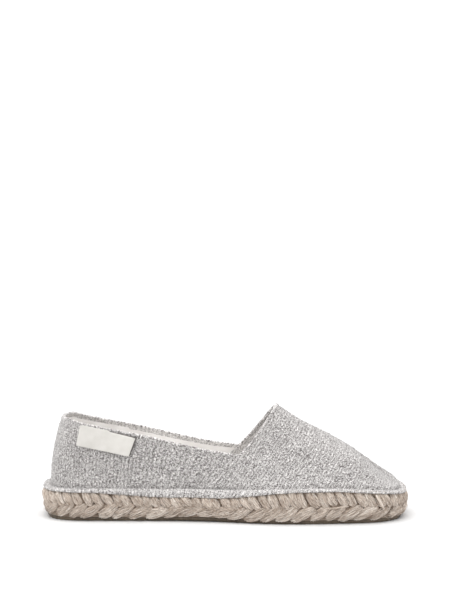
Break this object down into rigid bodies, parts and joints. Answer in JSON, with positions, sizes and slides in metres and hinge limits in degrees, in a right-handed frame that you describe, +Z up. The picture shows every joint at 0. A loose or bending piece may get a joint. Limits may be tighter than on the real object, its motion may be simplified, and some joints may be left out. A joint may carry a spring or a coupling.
{
  "type": "espadrille",
  "caption": "Right slip-on espadrille with a hollow cloth upper, a braided jute sole, a thin rubber tread and a blank side tab.",
  "frame": {"origin": "on the floor under the middle of the sole's box", "axes": "+X from heel to toe, +Z up, -Y to the outer side of the foot"},
  "size_m": [0.2518, 0.09, 0.0768],
  "materials": {
    "rubber_outsole": "matt natural rubber tread",
    "jute_sole": "braided jute rope, raw",
    "insole": "off-white cotton lining cloth",
    "upper": "light grey melange bouclé cloth",
    "side_label": "white woven tape, blank"
  },
  "bodies": {
    "root": {"rubber_outsole": "rubber_outsole", "jute_sole": "jute_sole", "insole": "insole", "upper": "upper", "side_label": "side_label"}
  },
  "joints": []
}
